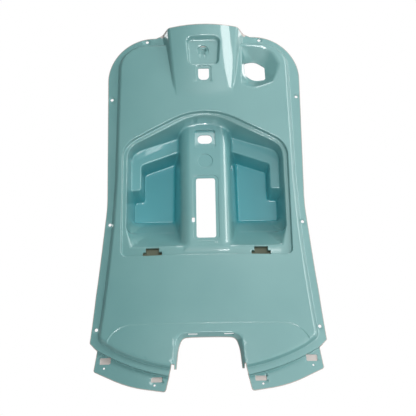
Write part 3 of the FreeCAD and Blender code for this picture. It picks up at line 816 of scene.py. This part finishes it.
def sheet(skin, line_step, step):
    """One side of the panel: its points in plan, its triangles and where its runs lie in them."""
    runs = [boundary(skin)] + holes(skin)
    points, edges = [], []

    def lay(run, closed):
        first = len(points)
        points.extend(run)
        edges.extend((first + k, first + k + 1) for k in range(len(run) - 1))
        if closed:
            edges.append((first + len(run) - 1, first))

    for run in runs:
        lay(run, True)
    fixed = len(points)
    if skin == 0:
        lay(painted_edge(runs[0]), True)
    lines = [spaced(run, line_step) for run in feature_lines(skin)]
    lines = [run for run in lines if len(run) > 2]
    lines += [widened(hinge(side), growth - skin) for side in (-1, 1) for growth in HINGE_LINES]
    every = np.concatenate(lines)
    keep = (clearance(every, runs) > BARE_RIM + EDGE_CLEARANCE) & inside(every, runs)
    for part in unbroken(lines, keep):
        lay(part, False)
    points += scattered(points, step)
    flat = [Vector((x, z)) for x, z in points]
    found = geometry.delaunay_2d_cdt(flat, edges, [], 0, SAME_PLACE, True)
    plan_points = np.array([(v.x, v.y) for v in found[0]])
    triangles = np.array(found[2])
    triangles = triangles[inside(plan_points[triangles].mean(1), runs)]
    place = {old: new for new, olds in enumerate(found[3]) for old in olds if old < fixed}
    used = np.unique(triangles)
    renumber = np.full(len(plan_points), -1)
    renumber[used] = np.arange(len(used))
    loops, start = [], 0
    for run in runs:
        loops.append([int(renumber[place[k]]) for k in range(start, start + len(run))])
        start += len(run)
    return plan_points[used], renumber[triangles], loops, runs


NUDGE = 0.03


def surface(points, skin):
    """The depth and the outward direction of the material at places in plan."""
    plan = Plan(points[:, 0], points[:, 1])
    depth = solved(plan, skin, features(plan, skin))
    slope = []
    for dx, dz, dd in ((NUDGE, 0, 0), (0, NUDGE, 0), (0, 0, NUDGE)):
        ends = []
        for way in (1, -1):
            moved = Plan(points[:, 0] + way * dx, points[:, 1] + way * dz) if dd == 0 else plan
            ends.append(material(moved, depth + way * dd, skin, features(moved, skin)))
        slope.append(ends[0] - ends[1])
    normal = np.stack([slope[0], -slope[2], slope[1]], 1)
    normal /= np.maximum(np.linalg.norm(normal, axis=1), 1e-9)[:, None]
    return depth, normal


def placed(points, depth):
    """Places in plan and their depths as points of the shared frame, in metres."""
    return np.stack([points[:, 0], -depth + ORIGIN_DEPTH, points[:, 1] - ORIGIN_Z], 1) / 1000


# How far below the door recess the painted shade in the compartments' paint starts and how deep it
# goes on growing, and where it fades at the compartments' feet
SHADE_START = 4
SHADE_REACH = 86
SHADE_FOOT_Z = 14
SHADE_FADE = 16
LEAST_SHADE = 0.15


def recess_shade_share(points, depth):
    """How deep in the compartments places of the rider side lie, from 0 at their mouths to 1: the share
    of painted shade that the paint gets there. It fades towards their feet."""
    x, z = points[:, 0], points[:, 1]
    below = np.clip((-DOOR_DEPTH - SHADE_START - lift(x, z, depth)) / SHADE_REACH, 0, 1)
    below = below * np.clip((z - SHADE_FOOT_Z) / SHADE_FADE, LEAST_SHADE, 1)
    return np.where(distance_to(x, z, OUTLINES["door"]) < 0, below, 0)


# The finishes of the panel, in the order of its material slots, the last being painted shade in
# the hinge pockets, and how far each one reaches past the form that it belongs to
SPRAYED, BARE, CUT, PAINTED_SLOT_SHADE = range(4)
CUT_SHARE = 0.9
PAD_MARGIN = 0.2
SLOT_MARGIN = 0.5
SLOT_RISE = 8.5
SLOT_SHADE = 6


def face_kinds(points, depth, edge):
    """Which finish each part of the rider side has."""
    x, z = points[:, 0], points[:, 1]
    kinds = np.full(len(points), SPRAYED)
    kinds[distance_to(x, z, edge) > -BARE_RIM * CUT_SHARE] = CUT
    for px, pz, half_x, half_z in PADS:
        across = np.abs(np.abs(x) - px) < half_x + PAD_MARGIN
        kinds[across & (np.abs(z - pz) < half_z + PAD_MARGIN)] = BARE
    kinds[(np.abs(x) > EAR[0]) & (np.abs(x) < EAR[1]) & (z > EAR[2])] = BARE
    # Painted shade: the deep faces of the hinge pockets get a dark finish.
    across = np.abs(np.abs(x) - HINGE_X) < HINGE_HALVES[1] + SLOT_MARGIN
    level = np.abs(z - HINGE_STEP_Z) < SLOT_RISE
    kinds[across & level & (depth < HINGE_MOUTH - SLOT_SHADE)] = PAINTED_SLOT_SHADE
    return [int(k) for k in kinds]


# The steps along the lines and between the even places, on the face and on the back
FACE_STEPS = (2.6, 6.0)
BACK_STEPS = (4.0, 9.0)


def leg_shield_mesh():
    """The whole panel as one closed mesh: the face, the back and the cut edges between them."""
    front_points, front_triangles, front_loops, runs = sheet(0.0, *FACE_STEPS)
    back_points, back_triangles, back_loops, _ = sheet(WALL, *BACK_STEPS)
    front_depth, front_normal = surface(front_points, 0.0)
    back_depth, back_normal = surface(back_points, WALL)
    spots = np.concatenate([placed(front_points, front_depth), placed(back_points, back_depth)])
    base = len(front_points)
    faces = [tuple(int(k) for k in t) for t in front_triangles]
    faces += [tuple(int(k) + base for k in t[::-1]) for t in back_triangles]
    middles, depths = front_points[front_triangles].mean(1), front_depth[front_triangles].mean(1)
    kinds = face_kinds(middles, depths, runs[0]) + [BARE] * len(back_triangles)
    flat_from = len(faces)
    for number, (front, back, run) in enumerate(zip(front_loops, back_loops, runs)):
        forward = (enclosed(run) > 0) == (number == 0)
        for k in range(len(front)):
            n = (k + 1) % len(front)
            quad = (front[n], front[k], back[k] + base, back[n] + base)
            faces.append(quad if forward else quad[::-1])
            kinds.append(CUT if number == 0 else SPRAYED)
    mesh = bpy.data.meshes.new("leg_shield_panel")
    mesh.from_pydata([tuple(p) for p in spots], [], faces)
    mesh.polygons.foreach_set("material_index", kinds)
    mesh.polygons.foreach_set("use_smooth", [True] * len(faces))
    corner = np.empty(len(mesh.loops), dtype=np.int64)
    mesh.loops.foreach_get("vertex_index", corner)
    normals = np.concatenate([front_normal, -back_normal])[corner]
    for polygon in mesh.polygons:
        if polygon.index >= flat_from:
            normals[polygon.loop_start:polygon.loop_start + polygon.loop_total] = polygon.normal
    mesh.normals_split_custom_set([tuple(n) for n in normals])
    # The share of painted shade in the compartments, stored on the points as the recess attribute.
    share = np.concatenate([recess_shade_share(front_points, front_depth), np.zeros(len(back_points))])
    mesh.attributes.new("recess", "FLOAT", "POINT").data.foreach_set("value", share.astype(np.float32))
    return mesh


# Finishes
NOISE_RANGE = (0.3, 0.7)
RAMP_ENDS = (0.35, 0.65)
RELIEF_HEIGHT = 0.0002
COAT_ROUGHNESS = 0.05
PLASTIC_IOR = 1.5


def ramp(nodes, low, high):
    """A ramp between two colours."""
    node = nodes.new("ShaderNodeValToRGB")
    for element, position, colour in zip(node.color_ramp.elements, RAMP_ENDS, (low, high)):
        element.position = position
        element.color = (*colour, 1)
    return node


def noise(nodes, links, place, *, scale, detail):
    """An uneven value in the piece's own space."""
    node = nodes.new("ShaderNodeTexNoise")
    node.inputs["Scale"].default_value = scale
    node.inputs["Detail"].default_value = detail
    links.new(place.outputs["Object"], node.inputs["Vector"])
    return node.outputs["Fac"]


def ranged(nodes, links, value, source, target):
    """A value moved from one range into another."""
    node = nodes.new("ShaderNodeMapRange")
    node.inputs["From Min"].default_value, node.inputs["From Max"].default_value = source
    node.inputs["To Min"].default_value, node.inputs["To Max"].default_value = target
    links.new(value, node.inputs["Value"])
    return node


def finish_of(name, low, high, *, rough, bump, coat=0.0, grain=900.0, recess=()):
    """A sprayed or bare plastic: slow drifts in its tone, uneven gloss and a fine skin. The paint is
    given a darker, bluer colour in the recesses, as painted shade where they get less light and sheen."""
    finish = bpy.data.materials.new(name)
    finish.use_nodes = True
    nodes, links = finish.node_tree.nodes, finish.node_tree.links
    shader = nodes["Principled BSDF"]
    place = nodes.new("ShaderNodeTexCoord")
    drift = noise(nodes, links, place, scale=7.0, detail=3.0)
    tone = ramp(nodes, low, high)
    links.new(drift, tone.inputs["Fac"])
    colour = tone.outputs["Color"]
    # Painted shade: the recess attribute blends the paint towards darker, bluer colours in the
    # compartments.
    if recess:
        full = ramp(nodes, *recess)
        links.new(drift, full.inputs["Fac"])
        share = nodes.new("ShaderNodeAttribute")
        share.attribute_name = "recess"
        blend = nodes.new("ShaderNodeMix")
        blend.data_type = "RGBA"
        links.new(share.outputs["Fac"], blend.inputs["Factor"])
        links.new(colour, blend.inputs[6])
        links.new(full.outputs["Color"], blend.inputs[7])
        colour = blend.outputs[2]
    links.new(colour, shader.inputs["Base Color"])
    smear = noise(nodes, links, place, scale=24.0, detail=5.0)
    spread = ranged(nodes, links, smear, NOISE_RANGE, rough)
    links.new(spread.outputs["Result"], shader.inputs["Roughness"])
    relief = nodes.new("ShaderNodeBump")
    relief.inputs["Strength"].default_value = bump
    relief.inputs["Distance"].default_value = RELIEF_HEIGHT
    links.new(noise(nodes, links, place, scale=grain, detail=2.0), relief.inputs["Height"])
    links.new(relief.outputs["Normal"], shader.inputs["Normal"])
    shader.inputs["Coat Weight"].default_value = coat
    shader.inputs["Coat Roughness"].default_value = COAT_ROUGHNESS
    shader.inputs["Coat IOR"].default_value = PLASTIC_IOR
    shader.inputs["IOR"].default_value = PLASTIC_IOR
    return finish


# The paint's recess colours are painted shade for the compartments.
PAINT = finish_of("paint", (0.132, 0.292, 0.292), (0.146, 0.312, 0.310), rough=(0.36, 0.46), coat=0.9,
                  grain=700.0, bump=0.05, recess=((0.034, 0.285, 0.328), (0.044, 0.308, 0.352)))
PRIMER = finish_of("bare_plastic", (0.44, 0.41, 0.39), (0.50, 0.46, 0.44), rough=(0.55, 0.70), bump=0.25)
EDGE = finish_of("cut_edge", (0.36, 0.32, 0.29), (0.46, 0.41, 0.37), rough=(0.50, 0.65), bump=0.20)
# A dark finish that is painted shade in the hinge pockets.
SLOT_SHADE_PAINT = finish_of("painted_slot_shade", (0.110, 0.120, 0.080), (0.140, 0.160, 0.110), rough=(0.60, 0.75), bump=0.20)

panel = bpy.data.objects.new("leg_shield_panel", leg_shield_mesh())
for finish in (PAINT, PRIMER, EDGE, SLOT_SHADE_PAINT):
    panel.data.materials.append(finish)
bpy.context.scene.collection.objects.link(panel)
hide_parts("leg_shield")
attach(panel, "root")

# Floor
FLOOR_HALF = 4
FLOOR_Z = -0.8
FLOOR_COLOUR = (0.85, 0.85, 0.85)


def matt(name, colour):
    """A plain matt finish."""
    finish = bpy.data.materials.new(name)
    finish.use_nodes = True
    shader = finish.node_tree.nodes["Principled BSDF"]
    shader.inputs["Base Color"].default_value = (*colour, 1)
    shader.inputs["Roughness"].default_value = 0.9
    return finish


corners = [(x * FLOOR_HALF, y * FLOOR_HALF, FLOOR_Z) for x, y in ((-1, -1), (1, -1), (1, 1), (-1, 1))]
mesh = bpy.data.meshes.new("floor")
mesh.from_pydata(corners, [], [(0, 1, 2, 3)])
floor = bpy.data.objects.new("floor", mesh)
mesh.materials.append(matt("floor", FLOOR_COLOUR))
bpy.context.scene.collection.objects.link(floor)


# Light
def larger(nodes, links, one, other):
    """The larger of two values."""
    node = nodes.new("ShaderNodeMath")
    node.operation = "MAXIMUM"
    links.new(one, node.inputs[0])
    links.new(other, node.inputs[1])
    return node.outputs["Value"]


# Where the room is brightest, and how bright it is there and away from it: for the light that
# falls on the object, and for what its gloss mirrors
BRIGHT_WAY = (0.88, -0.36, 0.30)
ROOM_RANGES = ((-0.1, 0.9), (0.03, 0.54))
MIRROR_RANGES = ((0.15, 0.62), (0.06, 1.0))


def studio_world():
    """A room that is bright on one side, and white to the camera."""
    world = bpy.data.worlds.new("studio")
    world.use_nodes = True
    nodes, links = world.node_tree.nodes, world.node_tree.links
    nodes.clear()
    towards = nodes.new("ShaderNodeVectorMath")
    towards.operation = "DOT_PRODUCT"
    towards.inputs[1].default_value = Vector(BRIGHT_WAY).normalized()
    links.new(nodes.new("ShaderNodeTexCoord").outputs["Generated"], towards.inputs[0])
    room_tone = ranged(nodes, links, towards.outputs["Value"], *ROOM_RANGES)
    room_tone.interpolation_type = "SMOOTHSTEP"
    mirror_tone = ranged(nodes, links, towards.outputs["Value"], *MIRROR_RANGES)
    room, white = nodes.new("ShaderNodeBackground"), nodes.new("ShaderNodeBackground")
    for background in (room, white):
        background.inputs["Color"].default_value = (1, 1, 1, 1)
    seen = nodes.new("ShaderNodeLightPath").outputs
    clear = larger(nodes, links, seen["Is Glossy Ray"], seen["Is Transmission Ray"])
    white_strength = larger(nodes, links, seen["Is Camera Ray"], mirror_tone.outputs["Result"])
    links.new(room_tone.outputs["Result"], room.inputs["Strength"])
    links.new(white_strength, white.inputs["Strength"])
    mix = nodes.new("ShaderNodeMixShader")
    links.new(larger(nodes, links, seen["Is Camera Ray"], clear), mix.inputs["Fac"])
    links.new(room.outputs["Background"], mix.inputs[1])
    links.new(white.outputs["Background"], mix.inputs[2])
    links.new(mix.outputs["Shader"], nodes.new("ShaderNodeOutputWorld").inputs["Surface"])
    return world


WHITE = (1, 1, 1)


def lamp(name, place, target, size, power, colour=WHITE):
    """A soft rectangular lamp."""
    light = bpy.data.lights.new(name, "AREA")
    light.shape = "RECTANGLE"
    light.size, light.size_y = size
    light.energy = power
    light.color = colour
    thing = bpy.data.objects.new(name, light)
    thing.location = place
    thing.rotation_euler = (Vector(target) - Vector(place)).to_track_quat("-Z", "Y").to_euler()
    bpy.context.scene.collection.objects.link(thing)


# How far off the far lamps stand, and the watts that one unit of strength gives a square metre
LAMP_DISTANCE = 6
LAMP_WATTS = 4


def far_lamp(name, azimuth, elevation, wide, tall, strength, target, colour):
    """A lamp some metres off, given by its direction and how wide and tall it looks, in degrees."""
    turn, rise = math.radians(azimuth), math.radians(elevation)
    way = Vector((math.sin(turn) * math.cos(rise), -math.cos(turn) * math.cos(rise), math.sin(rise)))
    size = [2 * LAMP_DISTANCE * math.tan(math.radians(angle) / 2) for angle in (wide, tall)]
    power = LAMP_WATTS * size[0] * size[1] * strength
    lamp(name, Vector(target) + LAMP_DISTANCE * way, target, size, power, colour)


bpy.context.scene.world = studio_world()
MIDDLE = (0.0, 0.0, 0.03)
COWL_SIDE = (0.045, -0.045, 0.39)
WARM_WHITE = (1.0, 0.99, 0.97)
# Each far lamp has its azimuth, its elevation, its width and its height in degrees, its strength,
# what it points at and its colour
FAR_LAMPS = {
    "softbox": (55, 27, 17, 24, 6.0, MIDDLE, WARM_WHITE),
    "window": (17.8, 7.8, 7, 6, 9, COWL_SIDE, WHITE),
    "top": (0, 66, 13, 40, 3.8, MIDDLE, WHITE),
    "side": (85, 12, 20, 30, 1.0, MIDDLE, WHITE),
    "front": (6, -8, 16, 16, 17, MIDDLE, WHITE),
    "back_left": (215, 30, 40, 30, 2.0, MIDDLE, WHITE),
    "back_right": (150, 35, 40, 30, 1.6, MIDDLE, WHITE),
}
for name, values in FAR_LAMPS.items():
    far_lamp(name, *values)
lamp("flash", place=(-0.02, -1.60, -0.45), target=MIDDLE, size=(0.06, 0.06), power=2.0)

# Camera. It looks up at the panel from below, from where the photograph was taken.
SENSOR = 36.0
FOCAL_PIXELS = 823.0
PHOTO_WIDTH_PIXELS = 416.0
CLIP_END = 30.0
CAMERA_RISE = math.radians(18.0)
CAMERA_ROLL = math.radians(1.05)
CAMERA_DISTANCE = 1.6
CAMERA_TARGET = placed(np.array([[4.0, 30.0]]), np.array([0.0]))[0]


def photo_camera():
    """The camera at the photograph's viewing angle."""
    view = bpy.data.cameras.new("camera")
    view.sensor_width = SENSOR
    view.lens = SENSOR * FOCAL_PIXELS / PHOTO_WIDTH_PIXELS
    view.clip_end = CLIP_END
    forward = Vector((0, math.cos(CAMERA_RISE), math.sin(CAMERA_RISE)))
    up = Vector((0, -math.sin(CAMERA_RISE), math.cos(CAMERA_RISE)))
    right = Vector((1, 0, 0))
    turned_right = right * math.cos(CAMERA_ROLL) - up * math.sin(CAMERA_ROLL)
    turned_up = right * math.sin(CAMERA_ROLL) + up * math.cos(CAMERA_ROLL)
    turn = Matrix((turned_right, turned_up, -forward)).transposed().to_4x4()
    camera = bpy.data.objects.new("camera", view)
    camera.matrix_world = Matrix.Translation(Vector(CAMERA_TARGET) - forward * CAMERA_DISTANCE) @ turn
    bpy.context.scene.collection.objects.link(camera)
    return camera


bpy.context.scene.camera = photo_camera()
bpy.context.scene.view_settings.view_transform = "Standard"
